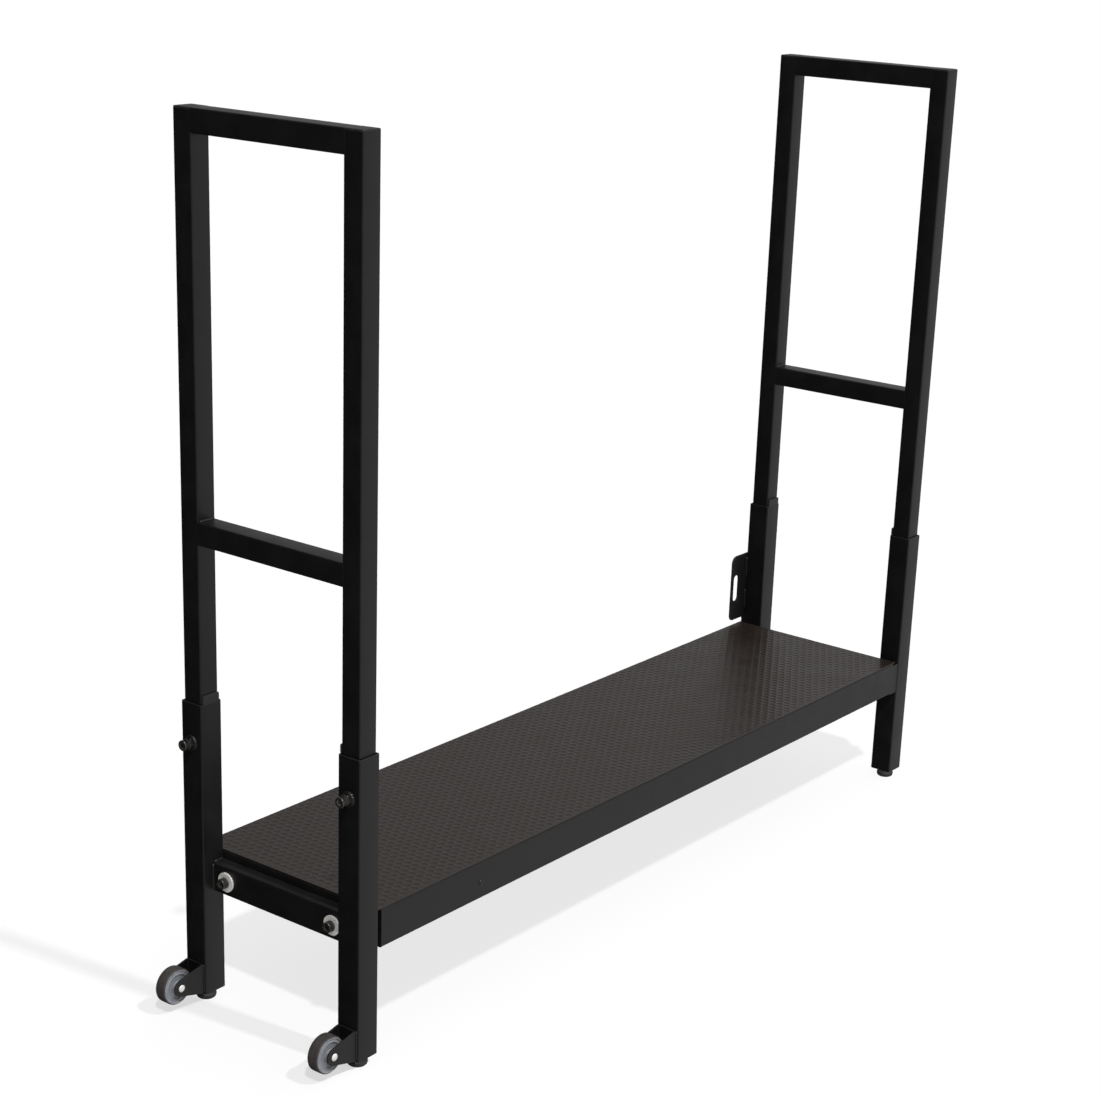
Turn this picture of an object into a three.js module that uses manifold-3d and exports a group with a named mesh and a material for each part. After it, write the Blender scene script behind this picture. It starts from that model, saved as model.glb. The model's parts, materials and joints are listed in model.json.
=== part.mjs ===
// Firewood log rack: two telescoping end frames on four legs, joined by a folded steel shelf.
// Millimetres. +X runs along the shelf away from the wheels, +Y to the back, +Z up.
// "near" is the wheel end (-X) and "front" is the long side at -Y. The floor is z = 0.
import * as THREE from "three";
import { mergeVertices } from "three/addons/utils/BufferGeometryUtils.js";
import Module from "manifold-3d";

const wasm = await Module();
wasm.setup();

// Overall layout
const POST_X = 730;                // leg centre from the middle of the shelf, along X
const POST_Y = 152.4;              // leg centre from the middle of the shelf, along Y
const HEIGHT = 1299;               // floor to the top of the end frames
const GAP = 0.3;                   // air left between pieces that touch on the real rack

// Lower legs: 40 mm square tube
const LEG_SIDE = 40;
const TUBE_WALL = 1.5;
const LEG_BOTTOM = 15.5;
const LEG_TOP = 470.5;
const LEG_RADIUS = 2.5;

// Upper end frames: square tube that slides in the legs
const FRAME_SIDE = 33.5;
const FRAME_RADIUS = 2.5;
const POST_BOTTOM = 230;
const RUNG_CENTRE = 722;
const CAP_THICKNESS = 1.8;

// Guide strips between post and leg
const STRIP_AIR = 0.28;
const STRIP_LENGTH = 70;
const STRIP_HALF = 12;
const STRIP_HEAD_HALF = 15.5;
const STRIP_HEAD_HEIGHT = 13;
const STRIP_PROUD = 0.4;           // head beyond the leg's inner Y face
const STRIP_CORNER_CUT = 1.5;

// Clamp screws: M10 socket head screw in a welded hex nut, one on each leg's end face
const CLAMP_Z = 410.5;
const SCREW_R = 5;
const SCREW_HOLE_R = 5.35;
const HEAD_R = 8;
const HEAD_LENGTH = 10;
const SOCKET_FLATS = 8;
const NUT_FLATS = 17;
const NUT_THICKNESS = 8;
const CLAMP_HEAD_OFFSET = 8.8;     // underside of the head from the leg's face

// Shelf: one folded sheet under a thin tread sheet
const SHELF_TOP = 238;
const TREAD_SHEET = 1.5;
const TRAY_TOP = SHELF_TOP - TREAD_SHEET - GAP;
const SKIRT_BOTTOM = 176;
const SHELF_HALF_WIDTH = 171.2;
const SHEET = 2.5;
const FOLD_RADIUS = 4;
const RETURN_LIP = 12;
const SHELF_NEAR = -709.6;         // outer face of the near end wall
const SHELF_FAR = 698;             // outer face of the far end wall
const SKIRT_NEAR = -702.3;         // the skirts stop short of the near legs
const SKIRT_FLANGE = 26;           // each skirt's near end turns in by this much
const FLANGE_INSET = 1.5;
const END_WALL_HALF = 164;

const PLUG_X = -487;
const PLUG_Z = 201.5;
const RIB_X = 235;

// End rails between the legs
const RAIL_SHEET = 3;
const RAIL_BOTTOM = 177.5;
const RAIL_TOP = 224;
const RAIL_WEB = 731;
const BOLT_Y = 105;
const BOLT_Z = 200.5;
const WASHER_R = 15;
const WASHER_THICKNESS = 2.5;

// Levelling feet
const FOOT_R = 15;
const STUD_TOP = 62;

// Tilt wheels
const WHEEL_R = 27.75;
const TREAD_WIDTH = 20;
const WHEEL_SIDES = 32;
const AXLE_OUT = 44.65;            // axle from the leg's face
const AXLE_Z = 42.5;
const AXLE_R = 4;
const BRACKET_HALF = 16.5;
const BRACKET_SHEET = 2.5;

// Slotted hook plate on the far back leg
const HOOK_LEFT = 664.3;
const HOOK_RIGHT = 744;
const HOOK_TOP = 372.6;
const HOOK_THICKNESS = 3;

const COLOURS = {
  black_steel: 0x1c1a1a,
  shelf_steel: 0x2c2927,
  black_zinc: 0x3a3a3c,
  bright_zinc: 0xb9bcc0,
  black_plastic: 0x141414,
  black_rubber: 0x1a1a1a,
  tread_rubber: 0x3f3a39,
  wheel_plastic: 0x9fa6ae,
};

const rack = new THREE.Group();
rack.name = "firewood_log_rack";

// ---------- solids ----------

function solidOf(geometry) {
  const bare = new THREE.BufferGeometry();
  bare.setAttribute("position", geometry.getAttribute("position"));
  if (geometry.index) bare.setIndex(geometry.index);
  const merged = mergeVertices(bare, 1e-4);
  const index = merged.index.array;
  const kept = [];
  for (let i = 0; i < index.length; i += 3) {
    const [a, b, c] = [index[i], index[i + 1], index[i + 2]];
    if (a !== b && b !== c && c !== a) kept.push(a, b, c);
  }
  return new wasm.Manifold(new wasm.Mesh({
    numProp: 3,
    vertProperties: new Float32Array(merged.getAttribute("position").array),
    triVerts: new Uint32Array(kept),
  }));
}

function addPiece(name, solid, colour) {
  const mesh = solid.getMesh();
  const geometry = new THREE.BufferGeometry();
  geometry.setAttribute("position", new THREE.Float32BufferAttribute(mesh.vertProperties, 3));
  geometry.setIndex(Array.from(mesh.triVerts));
  const material = new THREE.MeshStandardMaterial({
    name: colour,
    color: COLOURS[colour],
    roughness: 0.5,
    metalness: 0.3,
  });
  const flat = geometry.toNonIndexed();
  flat.computeVertexNormals();
  const piece = new THREE.Mesh(flat, material);
  piece.name = name;
  rack.add(piece);
}

function prism(points, depth, holes = []) {
  const shape = new THREE.Shape(points);
  shape.holes = holes.map((hole) => new THREE.Path(hole));
  return new THREE.ExtrudeGeometry(shape, { depth, bevelEnabled: false, steps: 1 });
}

const AXIS_X = new THREE.Vector3(1, 0, 0);
const AXIS_Y = new THREE.Vector3(0, 1, 0);
const AXIS_Z = new THREE.Vector3(0, 0, 1);

// Outline in (x, y), swept from z0 to z1.
function alongZ(points, z0, z1, holes = []) {
  return solidOf(prism(points, z1 - z0, holes).translate(0, 0, z0));
}

// Outline in (x, z), swept from y0 to y1.
function alongY(points, y0, y1, holes = []) {
  const turn = new THREE.Matrix4().makeBasis(AXIS_X, AXIS_Z, AXIS_Y.clone().negate());
  return solidOf(prism(points, y1 - y0, holes).applyMatrix4(turn).translate(0, y1, 0));
}

// Outline in (y, z), swept from x0 to x1.
function alongX(points, x0, x1, holes = []) {
  const turn = new THREE.Matrix4().makeBasis(AXIS_Y, AXIS_Z, AXIS_X);
  return solidOf(prism(points, x1 - x0, holes).applyMatrix4(turn).translate(x0, 0, 0));
}

function arc(cx, cy, radius, from, to, steps) {
  const points = [];
  for (let i = 0; i <= steps; i += 1) {
    const angle = from + ((to - from) * i) / steps;
    points.push(new THREE.Vector2(cx + radius * Math.cos(angle), cy + radius * Math.sin(angle)));
  }
  return points;
}

function circle(cx, cy, radius, sides) {
  return arc(cx, cy, radius, 0, 2 * Math.PI, sides).slice(0, -1);
}

function hexagon(cx, cy, flats) {
  return circle(cx, cy, flats / Math.sqrt(3), 6);
}

function roundedRect(cx, cy, width, height, radius, steps = 3) {
  const [x, y] = [width / 2 - radius, height / 2 - radius];
  const quarter = Math.PI / 2;
  return [
    ...arc(cx + x, cy + y, radius, 0, quarter, steps),
    ...arc(cx - x, cy + y, radius, quarter, 2 * quarter, steps),
    ...arc(cx - x, cy - y, radius, 2 * quarter, 3 * quarter, steps),
    ...arc(cx + x, cy - y, radius, 3 * quarter, 4 * quarter, steps),
  ];
}

// Outline of a folded sheet: the outer face follows path, the metal lies on its left.
function foldedSheet(path, thickness, radius, steps = 4) {
  const outer = [path[0].clone()];
  for (let i = 1; i < path.length - 1; i += 1) {
    const into = path[i].clone().sub(path[i - 1]).normalize();
    const out = path[i + 1].clone().sub(path[i]).normalize();
    const turn = Math.sign(into.cross(out));
    const start = path[i].clone().addScaledVector(into, -radius);
    const centre = start.clone().add(new THREE.Vector2(-into.y, into.x).multiplyScalar(turn * radius));
    const first = Math.atan2(start.y - centre.y, start.x - centre.x);
    outer.push(...arc(centre.x, centre.y, radius, first, first + (turn * Math.PI) / 2, steps));
  }
  outer.push(path[path.length - 1].clone());
  const inner = outer.map((point, i) => {
    const before = outer[Math.max(i - 1, 0)];
    const after = outer[Math.min(i + 1, outer.length - 1)];
    const a = i > 0 ? point.clone().sub(before).normalize() : after.clone().sub(point).normalize();
    const b = i < outer.length - 1 ? after.clone().sub(point).normalize() : a;
    const normal = new THREE.Vector2(-a.y - b.y, a.x + b.x);
    return point.clone().addScaledVector(normal, thickness / (1 + a.dot(b)));
  });
  const outline = [...outer, ...inner.reverse()];
  return THREE.ShapeUtils.isClockWise(outline) ? outline.reverse() : outline;
}

// Round piece on the Z axis from [radius, z] pairs, both ends on the axis or closed round a bore.
function turned(profile, sides) {
  const closed = profile[0][0] > 0 ? [...profile, profile[0]] : profile;
  return solidOf(new THREE.LatheGeometry(closed.map(([r, z]) => new THREE.Vector2(r, z)), sides)
    .applyMatrix4(new THREE.Matrix4().makeBasis(AXIS_X, AXIS_Z, AXIS_Y.clone().negate())));
}

function pairs(...values) {
  return values.map(([x, y]) => new THREE.Vector2(x, y));
}

function boxSolid(x0, x1, y0, y1, z0, z1) {
  return alongZ(pairs([x0, y0], [x1, y0], [x1, y1], [x0, y1]), z0, z1);
}

function squareTube(section, side, wall, radius, from, to) {
  const [sweep, cx, cy] = section;
  const outside = roundedRect(cx, cy, side, side, radius);
  const inside = roundedRect(cx, cy, side - 2 * wall, side - 2 * wall, radius - wall);
  return sweep(outside, from, to, [inside]);
}

// Socket head screw on the Z axis: tip at z = 0, head from z = length up.
function socketScrew(length) {
  const top = length + HEAD_LENGTH;
  const body = turned([
    [0, 0], [SCREW_R - 0.8, 0], [SCREW_R, 0.8], [SCREW_R, length], [HEAD_R, length],
    [HEAD_R, top - 0.8], [HEAD_R - 0.8, top], [0, top],
  ], 20);
  return body.subtract(alongZ(hexagon(0, 0, SOCKET_FLATS), top - 5, top + 1));
}

function hexNut(thickness) {
  return alongZ(hexagon(0, 0, NUT_FLATS), 0, thickness, [circle(0, 0, SCREW_HOLE_R, 20).reverse()]);
}

// Turns a solid built up the Z axis so that it points along +X (side = 1) or -X (side = -1).
function pointAlongX(solid, side) {
  return solid.rotate([0, 90 * side, 0]);
}

// ---------- end frames ----------

const END = { near: -1, far: 1 };
const SIDE = { back: 1, front: -1 };

for (const [end, sx] of Object.entries(END)) {
  const x = sx * POST_X;
  for (const [side, sy] of Object.entries(SIDE)) {
    const y = sy * POST_Y;
    const postTop = HEIGHT - CAP_THICKNESS - GAP;
    const post = squareTube([alongZ, x, y], FRAME_SIDE, TUBE_WALL, FRAME_RADIUS, POST_BOTTOM, postTop);
    addPiece(`${end}_${side}_post`, post, "black_steel");

    const bore = FRAME_SIDE - 2 * TUBE_WALL - 2 * GAP;
    const capHead = roundedRect(x, y, FRAME_SIDE, FRAME_SIDE, FRAME_RADIUS);
    const cap = alongZ(capHead, HEIGHT - CAP_THICKNESS, HEIGHT)
      .add(alongZ(roundedRect(x, y, bore, bore, 1), HEIGHT - 14, HEIGHT - CAP_THICKNESS));
    addPiece(`${end}_${side}_post_cap`, cap, "black_plastic");
  }
  const reach = POST_Y - FRAME_SIDE / 2 - GAP;
  for (const [bar, z] of Object.entries({ top_bar: HEIGHT - FRAME_SIDE / 2, rung: RUNG_CENTRE })) {
    const tube = squareTube([alongY, x, z], FRAME_SIDE, TUBE_WALL, FRAME_RADIUS, -reach, reach);
    addPiece(`${end}_${bar}`, tube, "black_steel");
  }
}

// ---------- legs with their clamps, guides and feet ----------

const legBore = LEG_SIDE - 2 * TUBE_WALL;

function guideStrip(x, y, sy) {
  const inner = FRAME_SIDE / 2 + STRIP_AIR;
  const outer = legBore / 2 - STRIP_AIR;
  const headOuter = LEG_SIDE / 2 + STRIP_PROUD;
  const [tongueA, tongueB] = [y - sy * inner, y - sy * outer].sort((a, b) => a - b);
  const [headA, headB] = [y - sy * inner, y - sy * headOuter].sort((a, b) => a - b);
  const bottom = LEG_TOP + GAP;
  const top = LEG_TOP + STRIP_HEAD_HEIGHT;
  const [left, right, cut] = [x - STRIP_HEAD_HALF, x + STRIP_HEAD_HALF, STRIP_CORNER_CUT];
  const tongueEnd = LEG_TOP - STRIP_LENGTH;
  const tongue = boxSolid(x - STRIP_HALF, x + STRIP_HALF, tongueA, tongueB, tongueEnd, bottom + 1);
  const head = alongY(pairs([left, bottom], [right, bottom], [right, top - cut], [right - cut, top],
    [left + cut, top], [left, top - cut]), headA, headB);
  return tongue.add(head);
}

function levellingFoot(x, y) {
  return turned([
    [0, 0], [FOOT_R - 1.5, 0], [FOOT_R, 1.5], [FOOT_R, 7], [FOOT_R - 2.5, 11.5], [9.5, 12],
    [9.5, LEG_BOTTOM - GAP], [SCREW_R, LEG_BOTTOM - GAP], [SCREW_R, STUD_TOP], [0, STUD_TOP],
  ], 20).translate([x, y, 0]);
}

for (const [end, sx] of Object.entries(END)) {
  for (const [side, sy] of Object.entries(SIDE)) {
    const [x, y] = [sx * POST_X, sy * POST_Y];
    const face = x + sx * (LEG_SIDE / 2);
    const hole = pointAlongX(turned([[0, -2], [SCREW_HOLE_R, -2], [SCREW_HOLE_R, 4], [0, 4]], 20), sx)
      .translate([face - sx * TUBE_WALL, y, CLAMP_Z]);
    const leg = squareTube([alongZ, x, y], LEG_SIDE, TUBE_WALL, LEG_RADIUS, LEG_BOTTOM, LEG_TOP);
    addPiece(`${end}_${side}_leg`, leg.subtract(hole), "black_steel");

    addPiece(`${end}_${side}_guide_strip`, guideStrip(x, y, sy), "black_plastic");

    const collar = turned([[SCREW_HOLE_R, 0], [12, 0], [9.2, 4.5], [SCREW_HOLE_R, 4.5]], 20);
    const nut = pointAlongX(hexNut(NUT_THICKNESS).add(collar), sx)
      .translate([face + sx * GAP, y, CLAMP_Z]);
    addPiece(`${end}_${side}_clamp_nut`, nut, "black_steel");

    const tip = FRAME_SIDE / 2 + GAP;
    const shank = LEG_SIDE / 2 + CLAMP_HEAD_OFFSET - tip;
    const screw = pointAlongX(socketScrew(shank), sx).translate([x + sx * tip, y, CLAMP_Z]);
    addPiece(`${end}_${side}_clamp_screw`, screw, "black_zinc");

    const insertSide = legBore - 2 * GAP;
    const insert = alongZ(roundedRect(x, y, insertSide, insertSide, 1.4), LEG_BOTTOM, LEG_BOTTOM + 20,
      [circle(x, y, SCREW_HOLE_R, 24).reverse()]);
    addPiece(`${end}_${side}_leg_insert`, insert, "black_plastic");

    addPiece(`${end}_${side}_levelling_foot`, levellingFoot(x, y), "black_rubber");
  }
}

// ---------- shelf ----------

function boreAlongX(radius, x0, x1, y, z) {
  return alongX(circle(y, z, radius, 20), x0, x1);
}

function shelfTray() {
  const half = SHELF_HALF_WIDTH;
  const channel = foldedSheet(pairs([half - RETURN_LIP, SKIRT_BOTTOM], [half, SKIRT_BOTTOM], [half, TRAY_TOP],
    [-half, TRAY_TOP], [-half, SKIRT_BOTTOM], [-half + RETURN_LIP, SKIRT_BOTTOM]), SHEET, FOLD_RADIUS);
  const nearWall = foldedSheet(pairs([SKIRT_NEAR + 10, TRAY_TOP], [SHELF_NEAR, TRAY_TOP],
    [SHELF_NEAR, SKIRT_BOTTOM]), SHEET, FOLD_RADIUS);
  const farWall = foldedSheet(pairs([SHELF_FAR, SKIRT_BOTTOM], [SHELF_FAR, TRAY_TOP],
    [SHELF_FAR - 20, TRAY_TOP]), SHEET, FOLD_RADIUS);
  let tray = alongX(channel, SKIRT_NEAR, SHELF_FAR - FOLD_RADIUS)
    .add(alongY(nearWall, -END_WALL_HALF, END_WALL_HALF))
    .add(alongY(farWall, -END_WALL_HALF, END_WALL_HALF));
  for (const sy of [-1, 1]) {
    const [a, b] = [sy * half, sy * (half - SHEET)].sort((p, q) => p - q);
    const legFace = POST_X - LEG_SIDE / 2 - GAP;
    tray = tray.add(boxSolid(SHELF_FAR - 10, legFace, a, b, SKIRT_BOTTOM + 0.5, TRAY_TOP - 5));
    const [c, d] = [sy * (half - FLANGE_INSET), sy * (half - SKIRT_FLANGE)].sort((p, q) => p - q);
    const flangeTop = TRAY_TOP - FLANGE_INSET;
    tray = tray.add(boxSolid(SKIRT_NEAR, SKIRT_NEAR + SHEET, c, d, SKIRT_BOTTOM + 0.5, flangeTop));
    tray = tray.subtract(boreAlongX(SCREW_HOLE_R, SHELF_NEAR - 1, SHELF_NEAR + 5, sy * BOLT_Y, BOLT_Z));
  }
  const plugHole = alongY(circle(PLUG_X, PLUG_Z, 3.3, 16), -half - 1, -half + SHEET + 1);
  return tray.subtract(plugHole);
}

addPiece("shelf_tray", shelfTray(), "black_steel");

const tread = roundedRect((SHELF_NEAR + SHELF_FAR) / 2, 0, SHELF_FAR - SHELF_NEAR, 2 * SHELF_HALF_WIDTH, 1.5);
addPiece("tread_sheet", alongZ(tread, SHELF_TOP - TREAD_SHEET, SHELF_TOP), "shelf_steel");

const plug = turned([[0, -3], [3, -3], [3, GAP], [4.5, GAP], [4.2, 0.9], [2.6, 1.3], [0, 1.4]], 16)
  .rotate([90, 0, 0])
  .translate([PLUG_X, -SHELF_HALF_WIDTH, PLUG_Z]);
addPiece("skirt_plug", plug, "black_steel");

for (const [name, x] of Object.entries({ near: -RIB_X, far: RIB_X })) {
  const rib = foldedSheet(pairs([x + 18, TRAY_TOP - SHEET - GAP], [x + 18, 212], [x - 18, 212],
    [x - 18, TRAY_TOP - SHEET - GAP]).reverse(), 1.5, 3, 2);
  const reach = SHELF_HALF_WIDTH - FOLD_RADIUS - GAP;
  addPiece(`${name}_shelf_rib`, alongY(rib, -reach, reach), "black_steel");
}

// ---------- end rails and the bolts through the near one ----------

const railReach = POST_Y - LEG_SIDE / 2 - GAP;
const railDepth = { near: 20, far: RAIL_WEB - SHELF_FAR - GAP };

for (const [end, sx] of Object.entries(END)) {
  const web = sx * RAIL_WEB;
  const lip = web - sx * railDepth[end];
  const path = pairs([lip, RAIL_BOTTOM], [web, RAIL_BOTTOM], [web, RAIL_TOP], [lip, RAIL_TOP]);
  const section = foldedSheet(sx > 0 ? path : path.reverse(), RAIL_SHEET, FOLD_RADIUS);
  let rail = alongY(section, -railReach, railReach);
  if (end === "near") {
    for (const sy of [-1, 1]) {
      rail = rail.subtract(boreAlongX(SCREW_HOLE_R, web - 1, web + RAIL_SHEET + 1, sy * BOLT_Y, BOLT_Z));
    }
  }
  addPiece(`${end}_rail`, rail, "black_steel");
}

for (const [side, sy] of Object.entries(SIDE)) {
  const y = sy * BOLT_Y;
  const washerFace = -RAIL_WEB - GAP - WASHER_THICKNESS;
  const washer = alongZ(circle(0, 0, WASHER_R, 32), 0, WASHER_THICKNESS,
    [circle(0, 0, SCREW_HOLE_R, 20).reverse()]);
  addPiece(`rail_washer_${side}`, pointAlongX(washer, 1).translate([washerFace, y, BOLT_Z]), "bright_zinc");

  const tip = SHELF_NEAR + 14;
  const bolt = pointAlongX(socketScrew(tip - (washerFace - GAP)), -1).translate([tip, y, BOLT_Z]);
  addPiece(`rail_bolt_${side}`, bolt, "black_zinc");

  const nut = pointAlongX(hexNut(NUT_THICKNESS), 1).translate([SHELF_NEAR + SHEET + GAP, y, BOLT_Z]);
  addPiece(`rail_nut_${side}`, nut, "bright_zinc");
}

// ---------- slotted hook plate ----------

function hookPlate() {
  const notch = { top: 245.5, end: 709, radius: 6.5 };
  const jawBottom = 200;
  const outline = [
    ...arc(HOOK_LEFT + 13, HOOK_TOP - 13, 13, Math.PI / 2, Math.PI, 4),
    ...arc(HOOK_LEFT + 10, notch.top + 10, 10, Math.PI, 1.5 * Math.PI, 4),
    ...arc(notch.end - notch.radius, notch.top - notch.radius, notch.radius, Math.PI / 2, -Math.PI / 2, 6),
    ...arc(HOOK_LEFT + 16, notch.top - 2 * notch.radius - 5, 5, Math.PI / 2, Math.PI, 3),
    ...arc(HOOK_LEFT + 23, jawBottom + 12, 12, Math.PI, 1.5 * Math.PI, 3),
    new THREE.Vector2(HOOK_RIGHT, jawBottom),
    new THREE.Vector2(HOOK_RIGHT, HOOK_TOP),
  ];
  const slot = roundedRect(679, 308.6, 16, 52, 7.9, 5).reverse();
  const back = POST_Y + LEG_SIDE / 2 + GAP;
  return alongY(outline, back, back + HOOK_THICKNESS, [slot]);
}

addPiece("hook_plate", hookPlate(), "black_steel");

// ---------- tilt wheels ----------

const nearFace = -POST_X - LEG_SIDE / 2;
const axleX = nearFace - AXLE_OUT;

function bracketSide(y0, y1) {
  const root = nearFace - GAP;
  const [cx, cz, radius] = [axleX, AXLE_Z, 13];
  const upper = [root - 5, LEG_BOTTOM + 49.5];
  const lower = [root, LEG_BOTTOM + 1.5];
  const tangent = (from, sign) => {
    const [dx, dz] = [from[0] - cx, from[1] - cz];
    return Math.atan2(dz, dx) + sign * Math.acos(radius / Math.hypot(dx, dz));
  };
  const start = tangent(upper, 1);
  const stop = tangent(lower, -1) + 2 * Math.PI;
  const outline = [
    ...pairs([root, LEG_BOTTOM + 49.5], upper),
    ...arc(cx, cz, radius, start, stop, 10),
    ...pairs(lower),
  ];
  return alongY(outline, y0, y1, [circle(cx, cz, AXLE_R + 0.15, 20).reverse()]);
}

function wheelBracket(y) {
  const web = boxSolid(nearFace - GAP - BRACKET_SHEET, nearFace - GAP, y - BRACKET_HALF, y + BRACKET_HALF,
    LEG_BOTTOM + 1.5, LEG_BOTTOM + 49.5);
  return web
    .add(bracketSide(y - BRACKET_HALF, y - BRACKET_HALF + BRACKET_SHEET))
    .add(bracketSide(y + BRACKET_HALF - BRACKET_SHEET, y + BRACKET_HALF));
}

function onAxle(solid, y) {
  return solid.rotate([90, 0, 0]).translate([axleX, y, AXLE_Z]);
}

for (const [side, sy] of Object.entries(SIDE)) {
  const y = sy * POST_Y;
  addPiece(`${side}_wheel_bracket`, wheelBracket(y), "black_steel");

  const half = TREAD_WIDTH / 2;
  const tyre = turned([
    [WHEEL_R - 3.4, -half + 1], [WHEEL_R - 1.3, -half + 1], [WHEEL_R, -half + 2.2],
    [WHEEL_R, half - 2.2], [WHEEL_R - 1.3, half - 1], [WHEEL_R - 3.4, half - 1],
  ], WHEEL_SIDES);
  addPiece(`${side}_wheel_tyre`, onAxle(tyre, y), "tread_rubber");

  const core = turned([
    [AXLE_R + 0.08, -13.2], [8.5, -13.2], [9, -8], [20, -7], [21.2, -half],
    [WHEEL_R - 1.6, -half], [WHEEL_R - 1.6, -half + 0.7], [WHEEL_R - 3.7, -half + 0.7],
    [WHEEL_R - 3.7, half - 0.7], [WHEEL_R - 1.6, half - 0.7], [WHEEL_R - 1.6, half],
    [21.2, half], [20, 7], [9, 8], [8.5, 13.2], [AXLE_R + 0.08, 13.2],
  ], WHEEL_SIDES);
  addPiece(`${side}_wheel_core`, onAxle(core, y), "wheel_plastic");

  const reach = BRACKET_HALF + GAP;
  const rivet = turned([
    [0, -reach - 2.8], [3.6, -reach - 2.2], [5.6, -reach - 0.8], [5.6, -reach], [AXLE_R, -reach],
    [AXLE_R, reach], [5.6, reach], [5.6, reach + 0.8], [3.6, reach + 2.2], [0, reach + 2.8],
  ], 20);
  addPiece(`${side}_wheel_axle`, onAxle(rivet, y), "bright_zinc");
}

// The origin is the middle of the rack's bounding box, on the floor.
const bounds = new THREE.Box3().setFromObject(rack);
const middle = bounds.getCenter(new THREE.Vector3());
for (const piece of rack.children) {
  piece.geometry.translate(-middle.x, -middle.y, 0);
}

export default rack;
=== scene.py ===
"""Looks of the firewood log rack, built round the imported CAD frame.

Lengths are metres unless a name or a comment says mm.
"""
import json
import math

import bmesh
import bpy
from mathutils import Matrix, Vector


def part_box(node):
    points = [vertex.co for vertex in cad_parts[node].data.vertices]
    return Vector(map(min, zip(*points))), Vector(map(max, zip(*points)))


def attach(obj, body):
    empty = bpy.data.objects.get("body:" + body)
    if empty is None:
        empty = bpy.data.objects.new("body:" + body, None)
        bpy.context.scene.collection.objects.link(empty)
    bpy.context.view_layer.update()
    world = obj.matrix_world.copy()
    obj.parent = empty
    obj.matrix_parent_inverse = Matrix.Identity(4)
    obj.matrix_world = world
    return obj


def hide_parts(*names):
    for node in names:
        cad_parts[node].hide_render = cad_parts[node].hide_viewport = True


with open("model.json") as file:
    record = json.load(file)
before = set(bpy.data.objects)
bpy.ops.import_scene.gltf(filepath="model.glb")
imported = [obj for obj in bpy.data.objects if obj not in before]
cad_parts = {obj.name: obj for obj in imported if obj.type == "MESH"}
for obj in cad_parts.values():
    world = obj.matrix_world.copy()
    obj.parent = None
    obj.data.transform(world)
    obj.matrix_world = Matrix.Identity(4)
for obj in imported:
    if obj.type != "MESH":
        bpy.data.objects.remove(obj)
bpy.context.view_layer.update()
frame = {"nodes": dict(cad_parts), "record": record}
MM = 0.001
ENDS = {"near": -1, "far": 1}
SIDES = {"back": 1, "front": -1}
BODIES = frame["record"]["behaviour"]["bodies"]
BODY_OF = {node: body for body, members in BODIES.items() for node in members}
SLOT_OF = {part["node"]: part["material_slot"] for part in frame["record"]["subparts"]}
X_AXIS, Y_AXIS, Z_AXIS = Vector((1, 0, 0)), Vector((0, 1, 0)), Vector((0, 0, 1))


# ---------- materials ----------

def shader(name, colour, roughness, metallic=0.0, specular=0.5):
    """A Principled material with its plain values set; the steps below link detail into it."""
    material = bpy.data.materials.new(name)
    material.use_nodes = True
    bsdf = material.node_tree.nodes["Principled BSDF"]
    bsdf.inputs["Base Color"].default_value = (*colour, 1)
    bsdf.inputs["Roughness"].default_value = roughness
    bsdf.inputs["Metallic"].default_value = metallic
    bsdf.inputs["Specular IOR Level"].default_value = specular
    return material


def add_node(material, kind, **values):
    node = material.node_tree.nodes.new(kind)
    for key, value in values.items():
        if key in node.inputs:
            node.inputs[key].default_value = value
        else:
            setattr(node, key, value)
    return node


def noise(material, size, detail, stretch=(1, 1, 1)):
    """Noise whose lumps are about size metres across, fixed to the piece."""
    links = material.node_tree.links
    coordinates = add_node(material, "ShaderNodeTexCoord")
    mapping = add_node(material, "ShaderNodeMapping", Scale=stretch)
    links.new(coordinates.outputs["Object"], mapping.inputs["Vector"])
    texture = add_node(material, "ShaderNodeTexNoise", Scale=1 / size, Detail=detail)
    links.new(mapping.outputs["Vector"], texture.inputs["Vector"])
    return texture.outputs["Fac"]


def ramp(material, value, low, high, first, second):
    """first below low, second above high, both numbers or both colours."""
    node = add_node(material, "ShaderNodeValToRGB")
    stops = node.color_ramp.elements
    for stop, position, shade in ((stops[0], low, first), (stops[1], high, second)):
        stop.position = position
        stop.color = (*shade, 1) if isinstance(shade, tuple) else (shade, shade, shade, 1)
    material.node_tree.links.new(value, node.inputs["Fac"])
    return node.outputs["Color"]


def mix_colour(material, factor, first, second):
    node = add_node(material, "ShaderNodeMix", data_type="RGBA")
    links = material.node_tree.links
    links.new(factor, node.inputs["Factor"])
    for socket, value in ((node.inputs[6], first), (node.inputs[7], second)):
        if isinstance(value, tuple):
            socket.default_value = (*value, 1)
        else:
            links.new(value, socket)
    return node.outputs[2]


def set_colour(material, output):
    bsdf = material.node_tree.nodes["Principled BSDF"]
    material.node_tree.links.new(output, bsdf.inputs["Base Color"])


def set_roughness(material, output):
    bsdf = material.node_tree.nodes["Principled BSDF"]
    material.node_tree.links.new(output, bsdf.inputs["Roughness"])


def add_bump(material, height, distance, strength):
    """Adds relief of about distance metres, on top of any that is there already."""
    links = material.node_tree.links
    bsdf = material.node_tree.nodes["Principled BSDF"]
    bump = add_node(material, "ShaderNodeBump", Strength=strength, Distance=distance)
    links.new(height, bump.inputs["Height"])
    if bsdf.inputs["Normal"].links:
        links.new(bsdf.inputs["Normal"].links[0].from_socket, bump.inputs["Normal"])
    links.new(bump.outputs["Normal"], bsdf.inputs["Normal"])


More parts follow.
